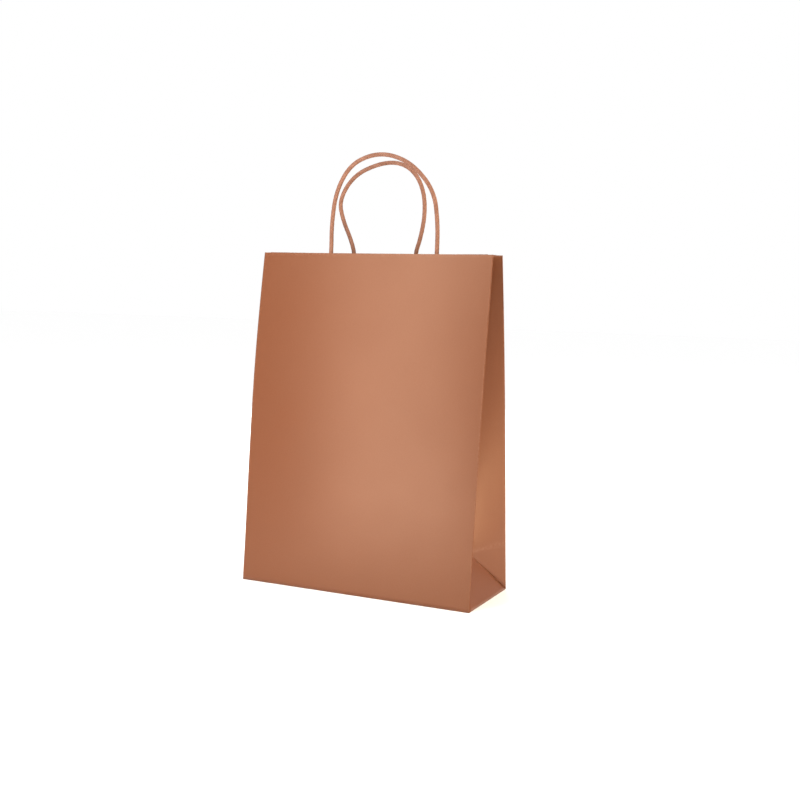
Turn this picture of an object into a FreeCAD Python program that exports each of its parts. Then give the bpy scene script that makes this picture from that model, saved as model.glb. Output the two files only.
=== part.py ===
"""Paper carrier bag with V-folded sides and two twisted paper handles.

Millimetres. +X is the width, the front faces -Y and +Z is up. The origin is the middle of the base, on the
surface that the bag stands on. The paper is divided at its creases, and each piece is written to its own STEP.
"""

import FreeCAD
import Part
import math
import os

Vector = FreeCAD.Vector

# Overall sizes
WIDTH = 240.0
DEPTH = 95.0
PANEL_LENGTH = 322.0  # bottom crease to top edge, along the paper
MOUTH = 24.0  # between the two walls' outer faces at the top edge

# Paper
PAPER = 0.3
GLUE = 0.02  # between two layers that are glued together
EDGE_GAP = 0.1  # between two pieces of one crease
CREASE_GAP = 0.3  # between pieces that turn against each other

# Opening, in degrees: how far each wall turns out about its bottom crease, and each gusset half about its corner crease
WALL_TURN = 3.2
GUSSET_TURN = 24.4
OPENING_STEPS = 8
FOLD_CLEARANCE = 0.9  # from the middle plane to either half, on the way from shut to open

# Turned-over hem and the glued side seam
HEM_LENGTH = 50.0
HEM_TRIM = 3.0  # the hem stops this far from the corner creases
GUSSET_HEM_TRIM = 6.0
GUSSET_HEM_GAP = 0.2  # between the gusset's curved paper and its hem
SEAM_TAB_WIDTH = 18.0
SEAM_TAB_INSET = 4.0

# Bottom flaps
BOTTOM_LAP = 26.0  # how far the front flap and the back flap lie over each other
SIDE_FLAP_LENGTH = 44.0
FOOT_MARGIN = 1.2  # the foot stops this far from the corner creases
FLAP_TRIM = 4 * PAPER  # the flaps stop this far inside the foot's outer face

# Handles: twisted paper cord between two patches, in each wall
CORD = 4.0
TAIL_LENGTH = 38.0  # cord between the patches
PATCH_LENGTH = 42.0
PATCH_DROP = 4.0  # top edge of the bag to the top of the patches
PATCH_MARGIN = 7.5  # patch past the middle of the cord, sideways
LOOP_GAP = 0.8  # above the tail's end, to clear it at every lean

# Each loop: place of its middle, lean away from upright, and the route as (sideways, up) from the top edge
FRONT_HANDLE = {
    "middle": 8.0,
    "lean": 4.0,
    "route": [(-55, 0), (-55, 28), (-51.5, 58), (-33.5, 81.5), (-12, 91),
              (10, 91), (31.5, 80), (50.5, 57), (55, 28), (55, 0)],
}
BACK_HANDLE = {
    "middle": 0.0,
    "lean": 5.0,
    "route": [(-33, 0), (-36, 11), (-47, 31), (-51.5, 52), (-37, 76), (-10, 87.5),
              (12, 88), (28.5, 77.5), (38.5, 59), (41, 37), (37.5, 14), (33, 0)],
}

# Worked out from the sizes above
LEAN = math.degrees(math.asin((DEPTH - MOUTH) / 2 / PANEL_LENGTH))
TOP = PANEL_LENGTH * math.cos(math.radians(LEAN))
HALF_GUSSET = DEPTH / 2
CORD_RADIUS = CORD / 2
PATCH_FACE = 2 * PAPER + 2 * GLUE  # outer patch, from the wall's outer face
TAIL_FACE = PATCH_FACE + PAPER + GLUE
CORD_MIDDLE = TAIL_FACE + CORD_RADIUS
HINGE_DEPTH = PAPER + GLUE / 2  # middle of the panel and its hem
X_AXIS = Vector(1, 0, 0)
Z_AXIS = Vector(0, 0, 1)
ORIGIN = Vector(0, 0, 0)


def save(shape, name):
    """Write one node and say how large it is."""
    shape.exportStep(f"parts/{name}.step")
    box = shape.BoundBox
    print(f"{name}: {len(shape.Solids)} solid(s), {shape.Volume:.1f} mm3, top {box.ZMax:.1f}")


def plate(x, inward, up):
    """A flat plate in a wall's own frame: X across, Y inwards from the outer face, Z up the paper."""
    size = (x[1] - x[0], inward[1] - inward[0], up[1] - up[0])
    return Part.makeBox(*size, Vector(x[0], inward[0], up[0]))


def on_wall(shape, wall):
    """Lean a wall-frame shape over the base's edge, and turn it round for the back wall."""
    placed = shape.copy()
    placed.rotate(ORIGIN, X_AXIS, -LEAN)
    placed.translate(Vector(0, -DEPTH / 2, 0))
    if wall == "back":
        placed.rotate(ORIGIN, Z_AXIS, 180)
    return placed


# Walls

def panel():
    return plate((-WIDTH / 2, WIDTH / 2), (0, PAPER), (CREASE_GAP, PANEL_LENGTH))


def hem():
    across = WIDTH / 2 - HEM_TRIM
    layer = (PAPER + GLUE, 2 * PAPER + GLUE)
    return plate((-across, across), layer, (PANEL_LENGTH - HEM_LENGTH, PANEL_LENGTH))


def seam_tab():
    """The strip that closes the sheet, glued inside the back wall below the hem."""
    start = WIDTH / 2 - SEAM_TAB_INSET - SEAM_TAB_WIDTH
    layer = (PAPER + GLUE, 2 * PAPER + GLUE)
    top = PANEL_LENGTH - HEM_LENGTH - CREASE_GAP
    return plate((start, start + SEAM_TAB_WIDTH), layer, (HALF_GUSSET, top))


# Gussets, drawn for the right side's front half

def wall_inset(z):
    """Half the distance between the walls' outer faces at a height."""
    return DEPTH / 2 - z * math.tan(math.radians(LEAN))


def fold_in(z):
    """How far the middle crease stands in from the side, so that each half keeps its paper width."""
    return math.sqrt(HALF_GUSSET ** 2 - wall_inset(z) ** 2)


def foot_point():
    """Where the middle crease meets the foot: half a gusset from the side's bottom edge and from the corner."""
    lean = math.radians(LEAN)
    corner = (HALF_GUSSET * math.cos(lean), wall_inset(HALF_GUSSET * math.cos(lean)))
    low, high = 0.0, HALF_GUSSET
    for _ in range(60):
        inwards = (low + high) / 2
        z = math.sqrt(HALF_GUSSET ** 2 - inwards ** 2)
        reach = math.sqrt(inwards ** 2 + corner[1] ** 2 + (corner[0] - z) ** 2)
        if reach < HALF_GUSSET:
            low = inwards
        else:
            high = inwards
    return inwards, z


def half_reach(z):
    """Width of a gusset half that clears its mate at the middle crease all the way from shut to open.

    The real crease bends with height and stays closed. A rigid half would cross its mate without this.
    """
    closed = math.asin(wall_inset(z) / HALF_GUSSET)
    widths = [HALF_GUSSET - CREASE_GAP]
    for step in range(1, OPENING_STEPS + 1):
        share = step / OPENING_STEPS
        inset = DEPTH / 2 - z * math.tan(math.radians(LEAN - share * WALL_TURN))
        turn = closed + math.radians(share * GUSSET_TURN)
        widths.append((inset - FOLD_CLEARANCE) / math.sin(turn))
    return min(widths)


def half_lines():
    """(corner point, middle crease point) pairs of one gusset half, from the foot to the top."""
    inwards, foot_z = foot_point()
    corner_y = PAPER + CREASE_GAP + PAPER / 2
    side = WIDTH / 2 - CREASE_GAP
    corner_z = HALF_GUSSET * math.cos(math.radians(LEAN))
    hem_z = TOP - HEM_LENGTH
    steps = 5
    heights = [corner_z + (hem_z - corner_z) * i / steps for i in range(steps + 1)]
    lines = []
    for z in heights + [TOP]:
        corner = Vector(side, -wall_inset(z) + corner_y, z)
        crease = Vector(WIDTH / 2 - fold_in(z), 0, z)
        if z == corner_z:
            crease = Vector(WIDTH / 2 - inwards, 0, foot_z + FOOT_MARGIN / 2)
        along = (crease - corner).normalize()
        lines.append((corner, corner + along * half_reach(z)))
    low_corner = Vector(side, -wall_inset(FOOT_MARGIN) + corner_y, FOOT_MARGIN)
    low_crease = low_corner + (lines[0][1] - low_corner) * (FOOT_MARGIN / HALF_GUSSET)
    return [(low_corner, low_crease)] + lines


def strip(lines, offset):
    """A thin solid through the lines, offset from them towards the inside of the bag."""
    sections = []
    for corner, crease in lines:
        along = Vector(crease.x - corner.x, crease.y - corner.y, 0)
        across = Vector(-along.y, along.x, 0).normalize()
        near = across * (offset - PAPER / 2)
        far = across * (offset + PAPER / 2)
        points = [corner + near, crease + near, crease + far, corner + far]
        sections.append(Part.makePolygon(points + points[:1]))
    return Part.makeLoft(sections, True, True)


def gusset_half():
    return strip(half_lines(), 0)


def gusset_hem():
    """The half's turned-over top, one layer further into the bag."""
    lines = []
    for corner, crease in half_lines()[-2:]:
        along = (crease - corner).normalize()
        lines.append((corner + along * GUSSET_HEM_TRIM, crease - along * HEM_TRIM))
    return strip(lines, PAPER + GUSSET_HEM_GAP)


def gusset_foot():
    """The triangle between the side's bottom edge and the middle crease's foot."""
    inwards, z = foot_point()
    side = WIDTH / 2 - CREASE_GAP
    half = DEPTH / 2 - 2 * FOOT_MARGIN
    tip = Vector(WIDTH / 2 - inwards, 0, z)
    base = Vector(side, 0, 0)
    up = (tip - base).normalize()
    inner = Vector(-up.z, 0, up.x)
    lift = up * (PAPER + EDGE_GAP)
    tip = tip - up * FOOT_MARGIN
    points = [Vector(side, -half, 0) + lift, Vector(side, half, 0) + lift, tip]
    return Part.Face(Part.makePolygon(points + points[:1])).extrude(inner * PAPER)


def each_side(shape, half=None):
    """Copies for the left and the right side, and for the front or the back half of a gusset."""
    if half == "back":
        shape = shape.mirror(ORIGIN, Vector(0, 1, 0))
    return {"right": shape, "left": shape.mirror(ORIGIN, Vector(1, 0, 0))}


# Bottom: the front flap lies on the back flap, and the side flaps lie on both

def long_flap(layer):
    """The back flap; turned round it is the front flap."""
    low = layer * (PAPER + GLUE)
    across = WIDTH / 2 - CREASE_GAP - FLAP_TRIM
    outer = DEPTH / 2 - PAPER - CREASE_GAP
    return Part.makeBox(2 * across, outer + BOTTOM_LAP / 2, PAPER, Vector(-across, -BOTTOM_LAP / 2, low))


def side_flap():
    """The right flap, with its free corners cut at 45 degrees."""
    low = 2 * (PAPER + GLUE)
    outer = WIDTH / 2 - CREASE_GAP - FLAP_TRIM
    half = DEPTH / 2 - 2 * FOOT_MARGIN
    inner = outer - SIDE_FLAP_LENGTH
    cut = min(SIDE_FLAP_LENGTH, half) / 2
    points = [Vector(outer, -half, low), Vector(outer, half, low), Vector(inner + cut, half, low)]
    points += [Vector(inner, half - cut, low), Vector(inner, cut - half, low), Vector(inner + cut, -half, low)]
    return Part.Face(Part.makePolygon(points + points[:1])).extrude(Vector(0, 0, PAPER))


# Handles, in the wall's own frame

def legs(handle):
    """Sideways places of the two ends of a loop."""
    return [handle["middle"] + handle["route"][i][0] for i in (0, -1)]


def patch_spans(handle):
    left, right = legs(handle)
    across = (left - PATCH_MARGIN, right + PATCH_MARGIN)
    top = PANEL_LENGTH - PATCH_DROP
    return across, (top - PATCH_LENGTH, top)


def outer_patch(handle):
    across, up = patch_spans(handle)
    return plate(across, (PATCH_FACE, PATCH_FACE + PAPER), up)


def inner_patch(handle):
    """Glued to the outer patch, and raised over each end of the cord."""
    across, up = patch_spans(handle)
    sheet = plate(across, (TAIL_FACE, TAIL_FACE + PAPER), up)
    raised = []
    hollow = []
    for x in legs(handle):
        for radius, solids in ((CORD_RADIUS + GLUE + PAPER, raised), (CORD_RADIUS + GLUE, hollow)):
            start = Vector(x, CORD_MIDDLE, up[0])
            solids.append(Part.makeCylinder(radius, PATCH_LENGTH, start))
            solids.append(plate((x - radius, x + radius), (TAIL_FACE, CORD_MIDDLE), up))
    below = plate(across, (0, TAIL_FACE), up)
    return sheet.fuse(raised).cut(hollow).cut(below).removeSplitter()


def tails(handle):
    """The two ends of the cord, from between the patches up to the bag's top edge."""
    length = TAIL_LENGTH + PATCH_DROP
    low = PANEL_LENGTH - length
    return Part.makeCompound(
        [Part.makeCylinder(CORD_RADIUS, length, Vector(x, CORD_MIDDLE, low)) for x in legs(handle)]
    )


def rounded_route(points, name):
    """Straight runs joined by tangent arcs, as large as the runs beside each corner allow."""
    edges = []
    radii = []
    start = points[0]
    for before, corner, after in zip(points, points[1:], points[2:]):
        back = (before - corner)
        ahead = (after - corner)
        trim = 0.45 * min(back.Length, ahead.Length)
        turn = math.pi - back.getAngle(ahead)
        back.normalize()
        ahead.normalize()
        radius = trim / math.tan(turn / 2)
        middle = (back + ahead).normalize() * (math.hypot(radius, trim) - radius)
        first = corner + back * trim
        last = corner + ahead * trim
        edges.append(Part.LineSegment(start, first).toShape())
        edges.append(Part.Arc(first, corner + middle, last).toShape())
        radii.append(radius)
        start = last
    edges.append(Part.LineSegment(start, points[-1]).toShape())
    print(f"{name}: radii {[round(r, 1) for r in radii]}")
    return Part.Wire(edges)


def loop(handle, name):
    """The free part of the cord, leaning about the hinge line along the bag's top edge."""
    points = []
    for i, (x, z) in enumerate(handle["route"]):
        lift = LOOP_GAP if i in (0, len(handle["route"]) - 1) else 0
        points.append(Vector(handle["middle"] + x, CORD_MIDDLE, PANEL_LENGTH + z + lift))
    route = rounded_route(points, name)
    start = Part.Wire(Part.makeCircle(CORD_RADIUS, points[0], points[1] - points[0]))
    cord = route.makePipeShell([start], True, False)
    error = cord.Volume / (math.pi * CORD_RADIUS ** 2 * route.Length) - 1
    print(f"{name}: free length {route.Length:.1f} mm, volume off by {error:.5f}")
    cord.rotate(Vector(0, HINGE_DEPTH, PANEL_LENGTH), X_AXIS, handle["lean"] + LEAN)
    return cord


def turned(handle):
    """A handle as the back wall's own frame sees it, where X runs the other way."""
    route = [(-x, z) for x, z in handle["route"]]
    return {"middle": -handle["middle"], "lean": handle["lean"], "route": route[::-1]}


def corner_crease():
    """Foot of the line that the right front gusset half turns about; the line runs up the wall's edge."""
    return (WIDTH / 2 - CREASE_GAP, -DEPTH / 2 + PAPER + CREASE_GAP + PAPER / 2, 0)


def foot_crease():
    """A point on the line that the right foot turns about; the line runs along Y."""
    return (WIDTH / 2 - CREASE_GAP, 0, PAPER)


def build():
    os.makedirs("parts", exist_ok=True)
    for wall, handle in (("front", FRONT_HANDLE), ("back", turned(BACK_HANDLE))):
        save(on_wall(panel(), wall), f"{wall}_panel")
        save(on_wall(hem(), wall), f"{wall}_hem")
        save(on_wall(outer_patch(handle), wall), f"{wall}_patch_outer")
        save(on_wall(inner_patch(handle), wall), f"{wall}_patch_inner")
        save(on_wall(tails(handle), wall), f"{wall}_handle_ends")
        save(on_wall(loop(handle, f"{wall}_handle"), wall), f"{wall}_handle")
        for side, shape in each_side(gusset_half(), wall).items():
            save(shape, f"{side}_gusset_{wall}")
        for side, shape in each_side(gusset_hem(), wall).items():
            save(shape, f"{side}_gusset_{wall}_hem")
    save(on_wall(seam_tab(), "back"), "side_seam_tab")
    for side, shape in each_side(gusset_foot()).items():
        save(shape, f"{side}_gusset_foot")
    for side, shape in each_side(side_flap()).items():
        save(shape, f"bottom_{side}_flap")
    save(long_flap(0), "bottom_back_flap")
    front = long_flap(1)
    front.rotate(ORIGIN, Z_AXIS, 180)
    save(front, "bottom_front_flap")
    hinge = on_wall(Part.Vertex(0, HINGE_DEPTH, PANEL_LENGTH), "front").Point
    print(f"walls lean {LEAN:.3f} degrees, top edge at {TOP:.2f}, handle hinge at {hinge.y:.3f}, {hinge.z:.3f}")
    print(f"corner crease at {corner_crease()}, foot crease at {foot_crease()}")


build()
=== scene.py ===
# %% [markdown]
# # A paper gift bag with two cord handles
# The bag is one big sheet of coloured kraft paper: a front wall, a back wall, and between them on each side a
# gusset that folds inwards. Its top edge is turned in as a hem, its bottom is four glued flaps, and two loops
# of twisted paper cord are held between paper patches inside the hem.
# The construction model already holds every piece at its real size. Here each piece gets the skin that paper
# and cord really have, and the walls, their patches and the feet ride on the same moving bodies.

# %% Load the construction model
import math

import bmesh
import bpy
from mathutils import Matrix, Quaternion, Vector, noise


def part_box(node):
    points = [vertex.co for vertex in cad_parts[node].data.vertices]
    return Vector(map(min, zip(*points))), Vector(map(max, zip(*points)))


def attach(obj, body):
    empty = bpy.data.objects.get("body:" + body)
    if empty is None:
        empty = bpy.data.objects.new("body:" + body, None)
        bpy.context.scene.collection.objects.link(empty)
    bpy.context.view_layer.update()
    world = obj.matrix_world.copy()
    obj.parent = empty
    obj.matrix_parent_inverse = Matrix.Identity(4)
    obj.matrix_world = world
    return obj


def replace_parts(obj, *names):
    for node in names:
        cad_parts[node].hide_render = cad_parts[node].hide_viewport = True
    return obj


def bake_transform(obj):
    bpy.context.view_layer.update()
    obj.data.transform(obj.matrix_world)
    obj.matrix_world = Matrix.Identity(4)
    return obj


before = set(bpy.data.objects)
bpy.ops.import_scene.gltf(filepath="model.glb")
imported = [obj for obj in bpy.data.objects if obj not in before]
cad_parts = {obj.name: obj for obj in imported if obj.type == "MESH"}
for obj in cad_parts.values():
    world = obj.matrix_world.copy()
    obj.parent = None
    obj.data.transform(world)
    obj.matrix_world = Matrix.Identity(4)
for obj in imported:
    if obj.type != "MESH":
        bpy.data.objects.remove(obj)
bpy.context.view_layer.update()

# %% [markdown]
# ## Sizes
# Paper folds at lines, so a few lengths say everything: the walls' width and length along the paper, the
# depth of the bottom, and how far apart the walls stand at the mouth. The lean of the walls follows from
# these. They're in metres. The width is measured on the construction model, and the others repeat its sizes.

# %% Sizes of the sheet
MM = 0.001
panel_low, panel_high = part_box("front_panel")
WIDTH = panel_high[0] - panel_low[0]
DEPTH = 95 * MM
LENGTH = 322 * MM
MOUTH = 24 * MM
PAPER = 0.3 * MM
GLUE = 0.02 * MM
HEM = 50 * MM
HALF = DEPTH / 2
LEAN = math.asin((DEPTH - MOUTH) / 2 / LENGTH)
TOP = LENGTH * math.cos(LEAN)
SIDES = {"left": -1, "right": 1}
WALLS = ("front", "back")
print(f"width {WIDTH / MM:.1f} mm, walls lean {math.degrees(LEAN):.2f} degrees")
print(f"top edge at {TOP / MM:.1f} mm")

# %% [markdown]
# ## The camera
# A long lens a little to the right of the front and a little above the middle of the bag, so that the
# upright edges stay nearly parallel. The camera is placed by its heading, tilt and roll, which turn into its
# three axes.

# %% Camera
CAMERA_PLACE = Vector((0.4959, -0.9926, 0.2956))
HEADING = math.radians(25.393)
TILT = math.radians(5.892)
ROLL = math.radians(1.188)
LENS = 52.25

ahead = Vector((-math.sin(HEADING) * math.cos(TILT), math.cos(HEADING) * math.cos(TILT), -math.sin(TILT)))
across = Vector((math.cos(HEADING), math.sin(HEADING), 0))
upwards = across.cross(ahead)
camera_x = across * math.cos(ROLL) + upwards * math.sin(ROLL)
camera_y = upwards * math.cos(ROLL) - across * math.sin(ROLL)

camera = bpy.data.objects.new("camera", bpy.data.cameras.new("camera"))
camera.data.lens = LENS
axes = Matrix((camera_x, camera_y, -ahead)).transposed().to_4x4()
camera.matrix_world = Matrix.Translation(CAMERA_PLACE) @ axes
bpy.context.collection.objects.link(camera)
bpy.context.scene.camera = camera
print("camera", [round(c, 3) for c in camera.location])

# %% [markdown]
# ## Finishes: effects that several materials share
# Kraft paper is a felt of short fibres, so its colour and its surface both vary a little, finely with the
# fibres and broadly with the pulp. Both effects are one node group, used by the sheet, the patches and the
# cord with their own strengths. It reads the place on the piece that it's given, and puts out three masks
# and a height.

# %% Helper for node trees
def feed(tree, socket, value):
    """Set an input to a value, or link it to another node's output."""
    if isinstance(value, bpy.types.NodeSocket):
        tree.links.new(value, socket)
    else:
        socket.default_value = value


def node(tree, kind, **inputs):
    """Add a node and feed its inputs by name."""
    made = tree.nodes.new(kind)
    for name, value in inputs.items():
        feed(tree, made.inputs[name.replace("_", " ")], value)
    return made


def product(tree, first, second):
    """Multiply two numbers."""
    made = tree.nodes.new("ShaderNodeMath")
    made.operation = "MULTIPLY"
    feed(tree, made.inputs[0], first)
    feed(tree, made.inputs[1], second)
    return made.outputs["Value"]


def new_group(name, inputs, outputs):
    """An empty node group with named number or vector sockets."""
    tree = bpy.data.node_groups.new(name, "ShaderNodeTree")
    for label, kind, value in inputs:
        socket = tree.interface.new_socket(label, in_out="INPUT", socket_type=kind)
        if value is not None:
            socket.default_value = value
    for label, kind in outputs:
        tree.interface.new_socket(label, in_out="OUTPUT", socket_type=kind)
    return tree, tree.nodes.new("NodeGroupInput"), tree.nodes.new("NodeGroupOutput")


# %% Paper fibres
FLOAT = "NodeSocketFloat"
VECTOR = "NodeSocketVector"

fibres, given, result = new_group(
    "paper_fibres",
    [("Place", VECTOR, None), ("Fine Scale", FLOAT, 900.0), ("Broad Scale", FLOAT, 14.0)],
    [("Grain", FLOAT), ("Clouds", FLOAT), ("Specks", FLOAT), ("Height", FLOAT)],
)
fine = node(fibres, "ShaderNodeTexNoise", Vector=given.outputs["Place"],
            Scale=given.outputs["Fine Scale"], Detail=3.0, Roughness=0.6)
broad = node(fibres, "ShaderNodeTexNoise", Vector=given.outputs["Place"],
             Scale=given.outputs["Broad Scale"], Detail=4.0, Roughness=0.55)
stretch = node(fibres, "ShaderNodeMapping", Vector=given.outputs["Place"], Scale=(1.0, 1.0, 0.25))
strands = node(fibres, "ShaderNodeTexNoise", Vector=stretch.outputs["Vector"],
               Scale=given.outputs["Fine Scale"], Detail=2.0, Distortion=1.5)
dots = node(fibres, "ShaderNodeTexVoronoi", Vector=given.outputs["Place"], Scale=110.0)
speck = node(fibres, "ShaderNodeMapRange", Value=dots.outputs["Distance"])
speck.inputs["From Min"].default_value = 0.03
speck.inputs["From Max"].default_value = 0.09
speck.inputs["To Min"].default_value = 1.0
speck.inputs["To Max"].default_value = 0.0
height = node(fibres, "ShaderNodeMath")
height.operation = "ADD"
fibres.links.new(fine.outputs["Fac"], height.inputs[0])
fibres.links.new(strands.outputs["Fac"], height.inputs[1])
fibres.links.new(fine.outputs["Fac"], result.inputs["Grain"])
fibres.links.new(broad.outputs["Fac"], result.inputs["Clouds"])
fibres.links.new(speck.outputs["Result"], result.inputs["Specks"])
fibres.links.new(height.outputs["Value"], result.inputs["Height"])
print("group", fibres.name, [s.name for s in fibres.interface.items_tree])

# %% [markdown]
# Where paper is folded its fibres break, and the colour rubs off along the line. The same lighter line also
# stands in for the light that a rounded fold catches, so it is partly a painted highlight. The pieces carry a
# number called crease, 1 on a fold and 0 away from it, and a second group turns it into a broken, lighter
# line of wear and painted highlight.

# %% Fold wear and painted highlight
wear_and_highlight, given, result = new_group(
    "fold_wear_and_highlight",
    [("Place", VECTOR, None), ("Amount", FLOAT, 1.0)],
    [("Wear and Highlight", FLOAT)],
)
fold = node(wear_and_highlight, "ShaderNodeAttribute")
fold.attribute_name = "crease"
patchy = node(wear_and_highlight, "ShaderNodeTexNoise", Vector=given.outputs["Place"], Scale=260.0, Detail=3.0)
broken = node(wear_and_highlight, "ShaderNodeMapRange", Value=patchy.outputs["Fac"])
broken.inputs["From Min"].default_value = 0.3
broken.inputs["From Max"].default_value = 0.7
worn_and_highlighted = product(wear_and_highlight, fold.outputs["Fac"], broken.outputs["Result"])
wear_and_highlight.links.new(product(wear_and_highlight, worn_and_highlighted, given.outputs["Amount"]), result.inputs["Wear and Highlight"])
print("group", wear_and_highlight.name)


# %% [markdown]
# ## Finishes: the materials
# The outside of the sheet is coloured through and lightly pressed, so it has a satin sheen, and its warm
# finish tints what it mirrors. The patches are the same paper left matt. The cord is a twisted strip of it.
# Each paper has three swatches: a middle tone, the dark of its clouds, and the light of its grain and of its
# folds, where the lighter line is partly wear and partly a painted highlight.

# %% Helpers for materials
def swatch(red, green, blue):
    """A colour from screen values 0 to 255, in linear light."""
    linear = [((c / 255 + 0.055) / 1.055) ** 2.4 for c in (red, green, blue)]
    return (*linear, 1.0)


def mix(tree, factor, first, second):
    """Mix two colours by a mask."""
    made = tree.nodes.new("ShaderNodeMix")
    made.data_type = "RGBA"
    tree.links.new(factor, made.inputs["Factor"])
    feed(tree, made.inputs[6], first)
    feed(tree, made.inputs[7], second)
    return made.outputs[2]


def ranged(tree, value, low, high):
    """Stretch a mask's middle, 0.35 to 0.65, over low to high."""
    made = node(tree, "ShaderNodeMapRange", Value=value)
    made.inputs["From Min"].default_value = 0.35
    made.inputs["From Max"].default_value = 0.65
    made.inputs["To Min"].default_value = low
    made.inputs["To Max"].default_value = high
    return made.outputs["Result"]


def new_material(name):
    material = bpy.data.materials.new(name)
    material.use_nodes = True
    return material, material.node_tree, material.node_tree.nodes["Principled BSDF"]


def use_group(tree, group, **inputs):
    """Place a node group and feed its inputs by name."""
    made = tree.nodes.new("ShaderNodeGroup")
    made.node_tree = group
    for name, value in inputs.items():
        feed(tree, made.inputs[name.replace("_", " ")], value)
    return made


# %% Paper materials
CLOUD_TONE = 0.16
GRAIN_TONE = 0.08
SPECK_TONE = 0.1
FOLD_WEAR_AND_HIGHLIGHT = 0.5
FIBRE_HEIGHT = 0.06 * MM
WARM_MIRROR = (1, 0.7, 0.52, 1)


def paper_material(name, tone, dark, light, gloss, bump):
    """Paper: clouds and grain in the colour, folds lightened as wear and as a painted highlight, and fibres
    that catch the light.
    """
    material, tree, surface = new_material(name)
    place = tree.nodes.new("ShaderNodeTexCoord").outputs["Object"]
    felt = use_group(tree, fibres, Place=place)
    folds = use_group(tree, wear_and_highlight, Place=place, Amount=FOLD_WEAR_AND_HIGHLIGHT)
    colour = mix(tree, ranged(tree, felt.outputs["Clouds"], 0.0, CLOUD_TONE), tone, dark)
    colour = mix(tree, ranged(tree, felt.outputs["Grain"], 0.0, GRAIN_TONE), colour, light)
    colour = mix(tree, product(tree, felt.outputs["Specks"], SPECK_TONE), colour, dark)
    # Folds lighter in the colour: partly wear, partly a painted highlight.
    colour = mix(tree, folds.outputs["Wear and Highlight"], colour, light)
    tree.links.new(colour, surface.inputs["Base Color"])
    roughness = ranged(tree, felt.outputs["Clouds"], gloss - 0.02, gloss + 0.03)
    tree.links.new(roughness, surface.inputs["Roughness"])
    surface.inputs["Specular Tint"].default_value = WARM_MIRROR
    relief = node(tree, "ShaderNodeBump", Height=felt.outputs["Height"], Strength=bump, Distance=FIBRE_HEIGHT)
    tree.links.new(relief.outputs["Normal"], surface.inputs["Normal"])
    return material


sheet_paper = paper_material("satin_terracotta_paper", swatch(108, 61, 38), swatch(100, 55, 33),
                             swatch(130, 89, 69), 0.32, 0.25)
patch_paper = paper_material("matt_patch_paper", swatch(117, 73, 53), swatch(106, 65, 44),
                             swatch(133, 94, 76), 0.72, 0.5)
board_paper = paper_material("inner_sheet_paper", swatch(114, 69, 46), swatch(104, 60, 38),
                             swatch(130, 89, 68), 0.6, 0.4)
print("paper materials:", sheet_paper.name, patch_paper.name, board_paper.name)

# %% [markdown]
# Twisted paper cord is a narrow strip rolled on itself, so its colour changes from turn to turn of the twist.
# The cord's mesh carries twist, a place that goes round with the strands, and a mark that is 1 in the hollow
# between two strands, where the colour is darkened as painted shade.

# %% Cord material
cord_paper, tree, surface = new_material("twisted_cord_paper")
twist = node(tree, "ShaderNodeAttribute")
twist.attribute_name = "twist"
groove_shade = node(tree, "ShaderNodeAttribute")
groove_shade.attribute_name = "groove_shade"
felt = use_group(tree, fibres, Place=twist.outputs["Vector"], Fine_Scale=1400.0, Broad_Scale=160.0)
clouds = felt.outputs["Clouds"]
colour = mix(tree, ranged(tree, clouds, 0.0, 0.75), swatch(131, 86, 65), swatch(112, 70, 50))
colour = mix(tree, ranged(tree, felt.outputs["Grain"], 0.0, 0.25), colour, swatch(144, 102, 81))
# Painted shade: the hollows between the strands are darkened in the colour.
colour = mix(tree, product(tree, groove_shade.outputs["Fac"], 0.3), colour, swatch(92, 56, 40))
tree.links.new(colour, surface.inputs["Base Color"])
tree.links.new(ranged(tree, clouds, 0.62, 0.78), surface.inputs["Roughness"])
relief = node(tree, "ShaderNodeBump", Height=felt.outputs["Height"], Strength=0.5, Distance=0.0001)
tree.links.new(relief.outputs["Normal"], surface.inputs["Normal"])
print("cord material:", cord_paper.name)

# %% [markdown]
# ## Helpers for meshes
# Everything that's paper starts as a flat grid of squares, whose corners are then moved to where the fold
# lines and the curve of the sheet put them. Solidify gives it the paper's thickness, half to each side.

# %% Mesh helpers
def grid(columns, rows, place):
    """A grid of quads, with its corner at column share u and row share v moved to place(u, v)."""
    made = bmesh.new()
    bmesh.ops.create_grid(made, x_segments=columns, y_segments=rows, size=0.5)
    for corner in made.verts:
        corner.co = place(corner.co.x + 0.5, corner.co.y + 0.5)
    return made


def finish_piece(made, name, material):
    """Turn a bmesh into a smooth-shaded object with one material."""
    mesh = bpy.data.meshes.new(name)
    made.to_mesh(mesh)
    made.free()
    mesh.materials.append(material)
    mesh.polygons.foreach_set("use_smooth", [True] * len(mesh.polygons))
    piece = bpy.data.objects.new(name, mesh)
    bpy.context.collection.objects.link(piece)
    return piece


def mark(piece, name, values):
    """Store one number a point for the materials."""
    layer = piece.data.attributes.new(name, "FLOAT", "POINT")
    layer.data.foreach_set("value", values)


def thicken(piece):
    """Give a sheet its thickness, half to each side of its grid."""
    solid = piece.modifiers.new("paper_thickness", "SOLIDIFY")
    solid.thickness = PAPER
    solid.offset = 0
    solid.use_even_offset = True


def near(distance, reach):
    """1 on a line, fading to 0 past a reach."""
    return math.exp(-(distance / reach) ** 2)


# %% [markdown]
# ## The walls
# A wall is flat paper, but springy, so it bows out a little between its two stiff ends, the bottom and the
# hem. So the wall's own frame (across, inwards from the outer face, up the paper) is bent by a belly before
# it's leaned in. At the top the same sheet is turned over a tight fold and comes down inside.

# %% Wall frame
BELLY = {"front": 3.6 * MM, "back": 0.9 * MM}
BELLY_RISE = 1.35  # over 1 moves the fullest place up from the middle
CROWN = 2.5 * MM  # how much fuller the middle is than the edges
SPREAD = 0.7 * MM  # how far each side edge moves outwards where the belly is fullest
RIPPLE = 0.18 * MM
RIPPLE_SIZE = 70 * MM


def fullness(up):
    """How much of the belly is there, from 0 at the bottom and the top to 1."""
    share = min(max(up / LENGTH, 0), 1)
    return math.sin(math.pi * share ** BELLY_RISE)


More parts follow.
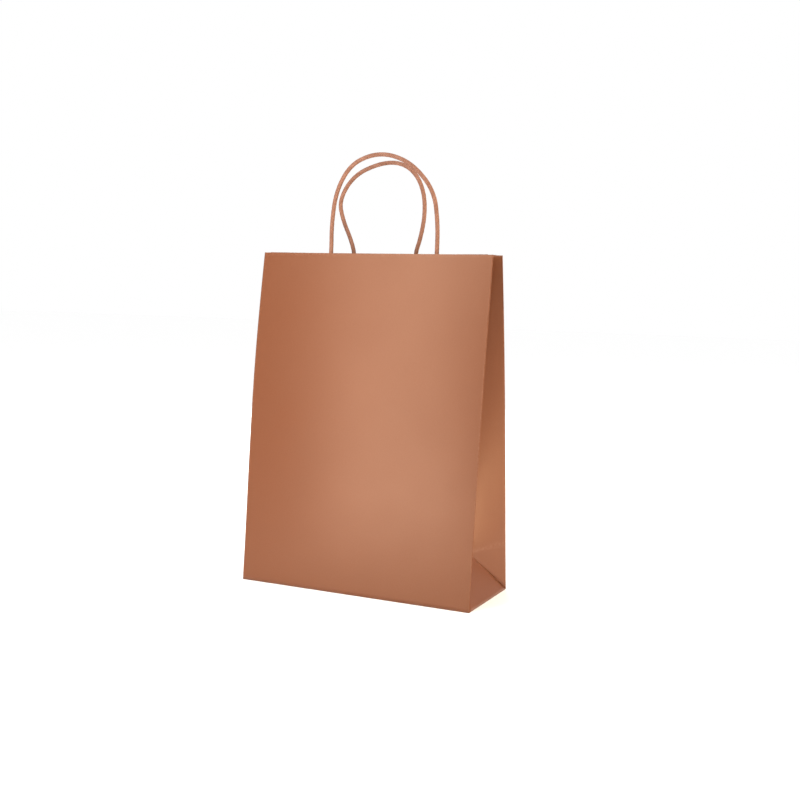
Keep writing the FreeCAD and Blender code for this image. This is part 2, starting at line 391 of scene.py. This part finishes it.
def wall_point(wall, x, inward, up):
    """A point of a wall's frame, bent by the belly, leaned in and set on its side of the bottom."""
    full = fullness(up)
    middle = 1 - (2 * x / WIDTH) ** 2
    ripple = noise.noise(Vector((x, up, WALLS.index(wall))) / RIPPLE_SIZE) * RIPPLE * full
    out = (BELLY[wall] + CROWN * middle) * full + ripple
    x = x + SPREAD * full * 2 * x / WIDTH
    y = inward - out
    leaned = Vector((
        x,
        y * math.cos(LEAN) + up * math.sin(LEAN) - DEPTH / 2,
        up * math.cos(LEAN) - y * math.sin(LEAN),
    ))
    if wall == "back":
        leaned.x, leaned.y = -leaned.x, -leaned.y
    return leaned


fullest = max(range(round(LENGTH / MM) + 1), key=lambda up: fullness(up * MM))
print("fullest at", fullest, "mm up the paper")

# %% Wall sheets
WALL_COLUMNS = 72
WALL_ROWS = 90
HEM_ROWS = 16
FOLD_STEPS = 6
EDGE_CROWDING = 0.8  # draws the grid's columns towards the two side folds
FOLD_RADIUS = (PAPER + GLUE) / 2
WEAR_AND_HIGHLIGHT_REACH = 0.8 * MM


def turned_edge():
    """(inwards, up) stations of a sheet that goes up, over a tight fold and down inside as a hem."""
    outer = PAPER / 2
    stations = [(outer, outer)]
    stations += [(outer, LENGTH * i / WALL_ROWS) for i in range(1, WALL_ROWS)]
    crest = LENGTH - outer - FOLD_RADIUS
    for i in range(FOLD_STEPS + 1):
        turn = math.pi * i / FOLD_STEPS
        stations.append((outer + FOLD_RADIUS * (1 - math.cos(turn)), crest + FOLD_RADIUS * math.sin(turn)))
    for i in range(1, HEM_ROWS + 1):
        stations.append((outer + 2 * FOLD_RADIUS, crest - (HEM - PAPER) * i / HEM_ROWS))
    return stations


def crowded(u):
    """Column place from -1 to 1, with more columns near the ends."""
    even = 2 * u - 1
    return even * (1 - EDGE_CROWDING) + EDGE_CROWDING * math.sin(even * math.pi / 2)


def wall_sheet(wall):
    """A wall and its hem, one sheet from the bottom fold up and over the top edge."""
    stations = turned_edge()
    rows = len(stations) - 1

    def place(u, v):
        inward, up = stations[round(v * rows)]
        return wall_point(wall, crowded(u) * (WIDTH - PAPER) / 2, inward, up)

    piece = finish_piece(grid(WALL_COLUMNS, rows, place), f"{wall}_wall_sheet", sheet_paper)
    folds = []
    for point in piece.data.vertices:
        side = WIDTH / 2 - abs(point.co.x)
        top = TOP - point.co.z
        folds.append(max(near(side, WEAR_AND_HIGHLIGHT_REACH), near(top, WEAR_AND_HIGHLIGHT_REACH), near(point.co.z, WEAR_AND_HIGHLIGHT_REACH)))
    mark(piece, "crease", folds)
    thicken(piece)
    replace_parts(piece, f"{wall}_panel", f"{wall}_hem")
    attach(piece, f"{wall}_wall")
    return piece


for wall in WALLS:
    sheet = wall_sheet(wall)
    print(sheet.name, len(sheet.data.polygons), "faces")

# %% [markdown]
# ## The gussets
# Each side of the bag is a strip as wide as the bottom is deep, folded inwards along its middle. The fold
# keeps each half's paper width, so it stands further in where the walls come closer. Near the bottom a
# slanted fold runs from the corner to the middle fold, and level ones show where the bag was once folded
# flat. When the mouth opens, a half turns about the corner fold, more at the top than at the bottom; here the
# halves are built where they stand at rest and are not tied to any moving body.

# %% Gusset frame
CORNER = WIDTH / 2 - PAPER / 2
LEVEL_FOLD = HALF * math.cos(LEAN)
LEVEL_INSET = HALF - HALF * math.sin(LEAN)
APEX_HEIGHT = (LEVEL_INSET ** 2 + LEVEL_FOLD ** 2) / (2 * LEVEL_FOLD)
APEX_IN = math.sqrt(HALF ** 2 - APEX_HEIGHT ** 2)
MID_FOLD = 0.515  # a faint level fold, as a share of the height
FLAT_FOLD_REACH = 1.2 * MM  # how broad the level folds are worn and painted lighter as a highlight
SAG = 0.5 * MM  # how far a half bows out between its two folds


def corner_fold(side, wall, up):
    """A point of the corner fold; the back wall's frame runs the other way across."""
    across_wall = SIDES[side] * (1 if wall == "front" else -1)
    return wall_point(wall, across_wall * CORNER, PAPER / 2, up)


def apex(side):
    """Where the slanted folds and the middle fold meet."""
    return Vector((SIDES[side] * (WIDTH / 2 - APEX_IN), 0, APEX_HEIGHT))


def gusset_line(side, wall, share):
    """The two ends of one line across a half: share runs -1 to 0 below the level fold, and 0 to 1 above.

    The walls' bellies differ a little, so both halves share the mean of the two reaches and meet.
    """
    if share <= 0:
        return corner_fold(side, wall, (1 + share) * HALF), apex(side)
    height = APEX_HEIGHT + (TOP - APEX_HEIGHT) * share
    starts = {name: corner_fold(side, name, HALF + (LENGTH - HALF) * share) for name in WALLS}
    reaches = [math.sqrt(HALF ** 2 - start.y ** 2 - (start.z - height) ** 2) for start in starts.values()]
    middle = Vector((starts[wall].x - SIDES[side] * sum(reaches) / 2, 0, height))
    return starts[wall], middle


def gusset_point(side, wall, u, share):
    """A point of a half, bowed a little towards the outside of the bag, and that direction."""
    start, middle = gusset_line(side, wall, share)
    along = middle - start
    outward = along.cross(Vector((0, 0, 1))).normalized()
    if outward.x * SIDES[side] < 0:
        outward = -outward
    above = max(0, share)
    bow = SAG * math.sin(math.pi * u) * min(1, above * 4) * (1 - above ** 4)
    return start + along * u + outward * bow, outward


print(f"slanted folds meet {APEX_IN / MM:.1f} mm in, {APEX_HEIGHT / MM:.1f} mm up")

# %% Gusset halves
LOW_ROWS = 8
HIGH_ROWS = 70
GUSSET_COLUMNS = 24


def bend_with_fold(piece):
    """Bakes the piece's placement into its points."""
    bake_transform(piece)


def share_of(v):
    """The share for a grid row, with rows set apart for the part below the level fold."""
    row = v * (LOW_ROWS + HIGH_ROWS)
    if row <= LOW_ROWS:
        return row / LOW_ROWS - 1
    return (row - LOW_ROWS) / HIGH_ROWS


def gusset_sheet(side, wall):
    """One half of a gusset, from the slanted fold up to the top edge."""
    def place(u, v):
        return gusset_point(side, wall, (crowded(u) + 1) / 2, share_of(v))[0]

    made = grid(GUSSET_COLUMNS, LOW_ROWS + HIGH_ROWS, place)
    bmesh.ops.remove_doubles(made, verts=made.verts, dist=0.001 * MM)
    piece = finish_piece(made, f"{side}_{wall}_gusset_sheet", sheet_paper)
    folds = []
    for point in piece.data.vertices:
        x, y, z = point.co
        level_height = LEVEL_FOLD - (LEVEL_FOLD - APEX_HEIGHT) * (1 - abs(y) / HALF)
        level = near(z - level_height, FLAT_FOLD_REACH)
        flat = 0.5 * near(z - MID_FOLD * TOP, FLAT_FOLD_REACH)
        corner = near(WIDTH / 2 - abs(x), WEAR_AND_HIGHLIGHT_REACH)
        folds.append(max(level, flat, corner, near(y, WEAR_AND_HIGHLIGHT_REACH)))
    mark(piece, "crease", folds)
    thicken(piece)
    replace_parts(piece, f"{side}_gusset_{wall}")
    bend_with_fold(piece)
    return piece


for side in SIDES:
    for wall in WALLS:
        print(gusset_sheet(side, wall).name)

# %% [markdown]
# The gusset's top is turned in like the wall's. Its hem stops short of the folds, where there's no room for
# it, so it's a piece of its own that starts on the top edge, goes over it and comes down inside the bag.

# %% Gusset hems
HEM_GAP = 0.5 * MM  # from the half's middle to its hem's middle
HEM_SIDE_TRIM = 6 * MM
HEM_FOLD_RISE = 0.15 * MM
GUSSET_HEM_ROWS = 14


def gusset_hem(side, wall):
    """The turned-in top of one half."""
    trim = HEM_SIDE_TRIM / HALF
    rows = FOLD_STEPS + GUSSET_HEM_ROWS

    def place(u, v):
        row = round(v * rows)
        across_half = trim + (1 - 2 * trim) * u
        if row <= FOLD_STEPS:
            turn = math.pi * row / FOLD_STEPS
            point, outward = gusset_point(side, wall, across_half, 1)
            inwards = HEM_GAP / 2 * (1 - math.cos(turn))
            return point - outward * inwards + Vector((0, 0, HEM_FOLD_RISE * math.sin(turn)))
        depth = (HEM - PAPER) * (row - FOLD_STEPS) / GUSSET_HEM_ROWS
        share = 1 - depth / (LENGTH - HALF)
        point, outward = gusset_point(side, wall, across_half, share)
        return point - outward * HEM_GAP

    piece = finish_piece(grid(GUSSET_COLUMNS, rows, place), f"{side}_{wall}_gusset_hem_sheet", board_paper)
    thicken(piece)
    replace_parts(piece, f"{side}_gusset_{wall}_hem")
    bend_with_fold(piece)
    return piece


for side in SIDES:
    for wall in WALLS:
        print(gusset_hem(side, wall).name)

# %% [markdown]
# ## The feet of the gussets
# Below the slanted folds the gusset turns into a triangle that leans in from the bottom's short edge. It
# hinges there as the bag opens. It's a grid whose top row shrinks to the tip, with the doubled points
# merged. The tip runs on a little behind the folds, where nobody sees it, so that no slit shows when the bag
# is open.

# %% Feet
FOOT_STEPS = 20
TUCK = 3 * MM


def foot(side):
    """The triangle between the bottom's short edge and the slanted folds."""
    low = [corner_fold(side, wall, PAPER / 2) for wall in WALLS]
    base_middle = low[0].lerp(low[1], 0.5)
    tip = apex(side) + (apex(side) - base_middle).normalized() * TUCK

    def place(u, v):
        return low[0].lerp(low[1], u).lerp(tip, v)

    made = grid(FOOT_STEPS, FOOT_STEPS, place)
    bmesh.ops.remove_doubles(made, verts=made.verts, dist=0.001 * MM)
    piece = finish_piece(made, f"{side}_foot_sheet", sheet_paper)
    thicken(piece)
    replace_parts(piece, f"{side}_gusset_foot")
    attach(piece, f"{side}_foot")
    return piece


for side in SIDES:
    print(foot(side).name)

# %% [markdown]
# ## The bottom flaps and the side seam
# These are flat pieces of the same sheet, and the construction model already has their true shape. They only
# need the paper's finish.

# %% Paper on the flat pieces
FLAPS = [f"bottom_{place}_flap" for place in ("left", "right", "front", "back")]
for name in FLAPS + ["side_seam_tab"]:
    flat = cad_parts[name]
    for slot in flat.material_slots:
        slot.material = board_paper
    print(name, "finished")

# %% [markdown]
# ## The cord handles
# The cord is rolled paper about 4 mm thick. Each handle is one length: two ends lie between the patches, and
# the loop stands up between them with the uneven bends that springy cord keeps. Its line is a smooth spline
# through the handle's chosen points, and a tube with three shallow grooves is wound round that line.
# A handle's middle and its route are in millimetres across and up the wall, and its lean is in degrees.

# %% Handle routes
CORD = 4 * MM
PATCH_FACE = 2 * PAPER + 2 * GLUE
TAIL_FACE = PATCH_FACE + PAPER + GLUE
CORD_MIDDLE = TAIL_FACE + CORD / 2
HINGE_DEPTH = PAPER + GLUE / 2
TAIL = 42 * MM
HANDLES = {
    "front": {"middle": 8.0, "lean": 4.0,
              "route": [(-55, 0), (-54, 28), (-48.5, 58), (-33.5, 81.5), (-12, 91),
                        (10, 91), (33, 80.5), (53, 57), (56.5, 28), (55.5, 0)]},
    "back": {"middle": 0.0, "lean": 5.0,
             "route": [(-31.5, 0), (-36, 13), (-46.5, 33), (-51.5, 52), (-37, 75.5), (-10, 86.5),
                       (12, 87), (28.5, 77), (38.5, 59), (41, 37), (37.5, 14), (33, 0)]},
}


def cord_ends(wall):
    """Sideways places of a handle's two ends, in its wall's own frame."""
    handle = HANDLES[wall]
    flip = 1 if wall == "front" else -1
    return sorted(flip * (handle["middle"] + handle["route"][i][0]) * MM for i in (0, -1))


def loop_point(wall, x, up):
    """A point of a loop, which leans outwards about the bag's top edge."""
    handle = HANDLES[wall]
    flip = 1 if wall == "front" else -1
    lean = math.radians(handle["lean"]) + LEAN
    depth, rise = CORD_MIDDLE - HINGE_DEPTH, up * MM
    inward = HINGE_DEPTH + depth * math.cos(lean) - rise * math.sin(lean)
    height = LENGTH + depth * math.sin(lean) + rise * math.cos(lean)
    return wall_point(wall, flip * (handle["middle"] + x) * MM, inward, height)


def cord_line(wall):
    """Control points from one end, up round the loop and down to the other end."""
    route = HANDLES[wall]["route"]
    if wall == "back":
        route = route[::-1]
    ends = cord_ends(wall)
    low = [wall_point(wall, ends[0], CORD_MIDDLE, LENGTH - TAIL + drop) for drop in (0, TAIL / 2)]
    last = [wall_point(wall, ends[1], CORD_MIDDLE, LENGTH - TAIL + drop) for drop in (TAIL / 2, 0)]
    return low + [loop_point(wall, x, up) for x, up in route] + last


# %% Read points along the spline
def spline_points(name, control):
    """Points along the smooth spline through a cord's control points."""
    curve = bpy.data.curves.new(name, "CURVE")
    curve.dimensions = "3D"
    curve.resolution_u = 48
    spline = curve.splines.new("NURBS")
    spline.points.add(len(control) - 1)
    for point, place in zip(spline.points, control):
        point.co = (*place, 1)
    spline.order_u = 3
    spline.use_endpoint_u = True
    holder = bpy.data.objects.new(name, curve)
    bpy.context.collection.objects.link(holder)
    line = bpy.data.meshes.new_from_object(holder)
    points = [point.co.copy() for point in line.vertices]
    bpy.data.objects.remove(holder)
    bpy.data.meshes.remove(line)
    return points


def evenly(points, step):
    """The same line with its points a fixed step apart."""
    total = sum((b - a).length for a, b in zip(points, points[1:]))
    count = round(total / step)
    spaced, walked, i = [points[0]], 0.0, 0
    for k in range(1, count):
        target = total * k / count
        while walked + (points[i + 1] - points[i]).length < target:
            walked += (points[i + 1] - points[i]).length
            i += 1
        part = (target - walked) / (points[i + 1] - points[i]).length
        spaced.append(points[i].lerp(points[i + 1], part))
    return spaced + [points[-1]], total


# %% Wind the cord
CORD_STEP = 0.7 * MM
CORD_SIDES = 30
STRANDS = 3
LEAD = 15 * MM  # length of one full turn of the twist
GROOVE_DEPTH = 0.1 * MM
LUMP = 0.05 * MM
LUMPS_PER_METRE = 160
FIBRE_STRETCH = 0.35  # the pattern moves on this much for each length of cord
MERGE = 0.002 * MM


def frames_along(points):
    """Two directions across the line at each point, carried along without twisting."""
    sideways = (points[1] - points[0]).normalized().orthogonal().normalized()
    made = []
    for i in range(len(points)):
        after = points[min(i + 1, len(points) - 1)]
        before = points[max(i - 1, 0)]
        onwards = (after - before).normalized()
        sideways = (sideways - onwards * sideways.dot(onwards)).normalized()
        made.append((sideways, onwards.cross(sideways)))
    return made


def hollow(angle):
    """1 in the groove between two strands, 0 on a strand's back."""
    return (1 - abs(math.cos(STRANDS * angle / 2))) ** 3


def cord_mesh(wall):
    """A handle's grooved cord as a closed mesh, and its length."""
    points, total = evenly(spline_points(f"{wall}_cord_line", cord_line(wall)), CORD_STEP)
    frames = frames_along(points)
    rings = len(points) - 1

    def place(u, v):
        i = round(v * rings)
        around = 2 * math.pi * u
        turned = around - 2 * math.pi * i * CORD_STEP / LEAD
        strand = Vector((math.cos(turned), math.sin(turned), 0))
        lump = noise.noise(points[i] * LUMPS_PER_METRE + strand) * LUMP
        radius = CORD / 2 - GROOVE_DEPTH * hollow(turned) + lump
        sideways, other = frames[i]
        return points[i] + (sideways * math.cos(around) + other * math.sin(around)) * radius

    made = grid(CORD_SIDES, rings, place)
    places = made.verts.layers.float_vector.new("twist")
    # A mark for the hollows between the strands, where the cord material paints shade.
    groove_shade_layer = made.verts.layers.float.new("groove_shade")
    for index, corner in enumerate(made.verts):
        ring, column = divmod(index, CORD_SIDES + 1)
        turned = 2 * math.pi * (column / CORD_SIDES - ring * CORD_STEP / LEAD)
        strand = Vector((math.cos(turned), math.sin(turned), 0))
        corner[places] = strand * CORD / 2 + Vector((0, 0, ring * CORD_STEP * FIBRE_STRETCH))
        corner[groove_shade_layer] = hollow(turned)
    bmesh.ops.remove_doubles(made, verts=made.verts, dist=MERGE)
    rims = [edge for edge in made.edges if edge.is_boundary]
    bmesh.ops.holes_fill(made, edges=rims, sides=CORD_SIDES + 2)
    bmesh.ops.recalc_face_normals(made, faces=made.faces)
    return made, total


for wall in WALLS:
    made, total = cord_mesh(wall)
    piece = finish_piece(made, f"{wall}_cord_handle", cord_paper)
    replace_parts(piece, f"{wall}_handle", f"{wall}_handle_ends")
    edge = wall_point(wall, 0, HINGE_DEPTH, LENGTH)
    up_wall = (edge - wall_point(wall, 0, HINGE_DEPTH, LENGTH - 100 * MM)).normalized()
    low, high = edge - up_wall * 0.5 * MM, edge + up_wall * 10 * MM
    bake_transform(piece)
    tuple(low)
    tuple(high)
    print(piece.name, "length", round(total / MM, 1), "mm", len(piece.data.polygons), "faces")

# %% [markdown]
# ## The patches
# Two strips of matt paper hold each handle's ends. The one against the hem lies flat. The inner one is glued
# to it and stands up over each cord end like a small tent, steep beside the cord and flat again a few
# millimetres on.

# %% Patches
PATCH = 42 * MM
PATCH_DROP = 4 * MM
PATCH_MARGIN = 7.5 * MM
TENT_REACH = 3.4 * MM  # from the cord's middle to where the paper lies flat again
PATCH_COLUMNS = 150
PATCH_ROWS = 16


def tent(x, wall):
    """How far the inner patch stands off over a cord end."""
    closest = min(abs(x - end) for end in cord_ends(wall))
    if closest >= TENT_REACH:
        return 0
    share = closest / TENT_REACH
    return (CORD + GLUE) * (1 - share ** 3) ** 1.6


def patch(wall, name, face, stands):
    """One patch on a given face, which stands over the cord ends or lies flat."""
    ends = cord_ends(wall)
    low, high = ends[0] - PATCH_MARGIN, ends[1] + PATCH_MARGIN
    top = LENGTH - PATCH_DROP

    def place(u, v):
        x = low + (high - low) * u
        inward = face + PAPER / 2 + (tent(x, wall) if stands else 0)
        return wall_point(wall, x, inward, top - PATCH * (1 - v))

    piece = finish_piece(grid(PATCH_COLUMNS, PATCH_ROWS, place), name, patch_paper)
    thicken(piece)
    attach(piece, f"{wall}_wall")
    return piece


for wall in WALLS:
    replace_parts(patch(wall, f"{wall}_flat_patch", PATCH_FACE, False), f"{wall}_patch_outer")
    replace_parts(patch(wall, f"{wall}_tent_patch", TAIL_FACE, True), f"{wall}_patch_inner")
    print(wall, "patches on cord ends at", [round(x / MM, 1) for x in cord_ends(wall)])

# %% [markdown]
# ## Floor and light
# A bag like this is shown on a white sweep: a pale floor, and a room that is white behind it but gives it
# only a soft fill. The satin sheen is what shapes the front. A tall soft light stands where the middle of
# the front wall mirrors it to the camera, so the paper is brightest there and falls off to both edges. Two
# more lift the right side and the back.

# %% Floor
FLOOR_SIZE = 12

floor_material, tree, surface = new_material("white_floor")
surface.inputs["Base Color"].default_value = (0.93, 0.93, 0.93, 1)
surface.inputs["Roughness"].default_value = 0.9
floor_grid = grid(1, 1, lambda u, v: Vector((u - 0.5, v - 0.5, 0)) * FLOOR_SIZE)
floor = finish_piece(floor_grid, "floor", floor_material)
print("floor", FLOOR_SIZE, "m square")

# %% Lights
ROOM_LIGHT = 0.34  # what the room gives the bag, against the full white that the camera sees behind it

world = bpy.data.worlds.new("white_room")
bpy.context.scene.world = world
world.use_nodes = True
tree = world.node_tree
room = tree.nodes["Background"]
room.inputs["Color"].default_value = (1, 1, 1, 1)
seen = tree.nodes.new("ShaderNodeLightPath").outputs["Is Camera Ray"]
level = node(tree, "ShaderNodeMapRange", Value=seen)
level.inputs["To Min"].default_value = ROOM_LIGHT
tree.links.new(level.outputs["Result"], room.inputs["Strength"])
bpy.context.scene.view_settings.view_transform = "Standard"


def soft_light(name, place, target, size, power, colour=(1, 1, 1), roll=0):
    """A rectangular light that faces a target, turned by roll, and doesn't show itself."""
    light = bpy.data.lights.new(name, "AREA")
    light.shape = "RECTANGLE"
    light.size, light.size_y = size
    light.energy = power
    light.color = colour
    lamp = bpy.data.objects.new(name, light)
    lamp.location = place
    facing = (Vector(target) - Vector(place)).to_track_quat("-Z", "Y")
    lamp.rotation_euler = (facing @ Quaternion((0, 0, 1), roll)).to_euler()
    lamp.visible_camera = False
    bpy.context.collection.objects.link(lamp)


front_middle = Vector((0, -DEPTH / 4, TOP / 2))
side_middle = Vector((WIDTH / 2, 0, TOP / 2))
back_middle = Vector((0, DEPTH / 2, TOP / 2))
mirrored = Vector((-0.305, -0.888, 0.1))
strip_place = front_middle + mirrored * 0.45
soft_light("strip", strip_place, front_middle, (0.22, 1.4), 6.3, (1, 0.96, 0.9), math.radians(4))
soft_light("side", (0.95, -0.05, 0.35), side_middle, (0.4, 1.2), 15, (1, 0.84, 0.6))
soft_light("back", (-0.7, 1.2, 0.6), back_middle, (0.8, 0.8), 12)

# A broad sun straight above whitens the floor. The upright walls get less of it.
sun = bpy.data.objects.new("ceiling", bpy.data.lights.new("ceiling", "SUN"))
sun.data.energy = 2.4
sun.data.angle = math.radians(70)
sun.location = (0, 0, 2)
bpy.context.collection.objects.link(sun)
